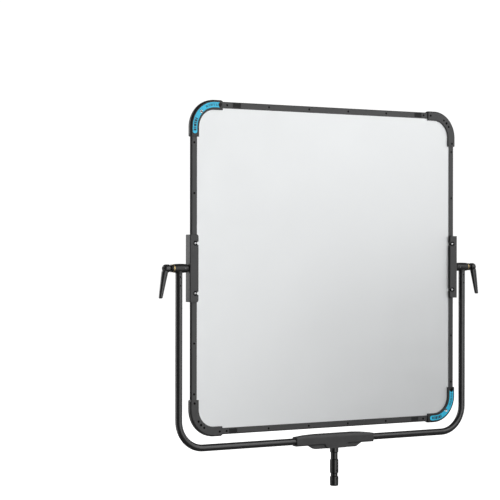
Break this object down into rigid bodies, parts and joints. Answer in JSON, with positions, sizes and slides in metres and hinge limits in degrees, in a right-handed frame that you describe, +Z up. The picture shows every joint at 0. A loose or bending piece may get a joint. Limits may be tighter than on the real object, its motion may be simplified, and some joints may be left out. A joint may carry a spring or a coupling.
{
  "type": "tilting light reflector panel",
  "caption": "Square light reflector panel in a metal frame that tilts in a U-shaped tube yoke, held by clamping levers, on a spigot for a lighting stand.",
  "frame": {"origin": "on the spigot's axis, at its shoulder under the base casting", "axes": "+Z up along the spigot, +X to the right seen from the reflecting front and along the tilt axis, -Y out of the reflecting face"},
  "size_m": [1.2708, 0.0286, 1.2405],
  "materials": {
    "reflector": "satin silver reflecting sheet",
    "core": "plain",
    "frame": "dark grey anodised, satin",
    "casting": "black powder coat, satin",
    "blue_plate": "blue anodised, satin",
    "dark_screw": "black oxide",
    "bright_steel": "bright zinc",
    "dark_steel": "black oxide",
    "spigot": "turned, dark anodised",
    "brass": "turned",
    "pad": "ribbed, matt",
    "lever": "black powder coat, satin"
  },
  "bodies": {
    "yoke": {"head_left": "casting", "head_right": "casting", "bush_left": "brass", "bush_right": "brass", "bush_screws": "bright_steel", "head_screws": "dark_screw", "arm_left": "frame", "arm_right": "frame", "base_front": "casting", "base_rear": "casting", "base_screws": "dark_screw", "arm_screws": "dark_screw", "spigot": "spigot"},
    "panel": {"reflector_face": "reflector", "panel_core": "core", "back_skin": "frame", "rail_top": "frame", "rail_right": "frame", "rail_bottom": "frame", "rail_left": "frame", "rail_screws": "dark_screw", "rail_pads": "pad", "corner_front_tr": "casting", "corner_back_tr": "casting", "corner_front_br": "casting", "corner_back_br": "casting", "corner_front_bl": "casting", "corner_back_bl": "casting", "corner_front_tl": "casting", "corner_back_tl": "casting", "plate_top_left": "blue_plate", "plate_bottom_right": "blue_plate", "plate_screws": "dark_screw", "corner_screws": "dark_screw", "bracket_left": "frame", "bracket_right": "frame", "bracket_screws": "bright_steel", "stud_left": "bright_steel", "stud_right": "bright_steel"},
    "lever_core_left": {"lever_insert_left": "dark_steel", "lever_screw_left": "dark_screw", "lever_spring_left": "bright_steel"},
    "lever_left": {"lever_handle_left": "lever"},
    "lever_core_right": {"lever_insert_right": "dark_steel", "lever_screw_right": "dark_screw", "lever_spring_right": "bright_steel"},
    "lever_right": {"lever_handle_right": "lever"}
  },
  "joints": [
    {"name": "panel_tilt", "type": "hinge", "parent": "yoke", "child": "panel", "pos_m": [-0.0275, 0, 0.5892], "axis": [1, 0, 0], "continuous": true},
    {"name": "lever_turn_left", "type": "hinge", "parent": "panel", "child": "lever_core_left", "pos_m": [-0.6215, 0, 0.5892], "axis": [-1, 0, 0], "range_deg": [0, 180]},
    {"name": "lever_lift_left", "type": "slide", "parent": "lever_core_left", "child": "lever_left", "axis": [-1, 0, 0], "range_m": [0, 0.004], "stiffness_N_per_m": 800, "springref_m": -0.002, "deforming": ["lever_spring_left"]},
    {"name": "lever_turn_right", "type": "hinge", "parent": "panel", "child": "lever_core_right", "pos_m": [0.5665, 0, 0.5892], "axis": [1, 0, 0], "range_deg": [0, 180]},
    {"name": "lever_lift_right", "type": "slide", "parent": "lever_core_right", "child": "lever_right", "axis": [1, 0, 0], "range_m": [0, 0.004], "stiffness_N_per_m": 800, "springref_m": -0.002, "deforming": ["lever_spring_right"]}
  ]
}
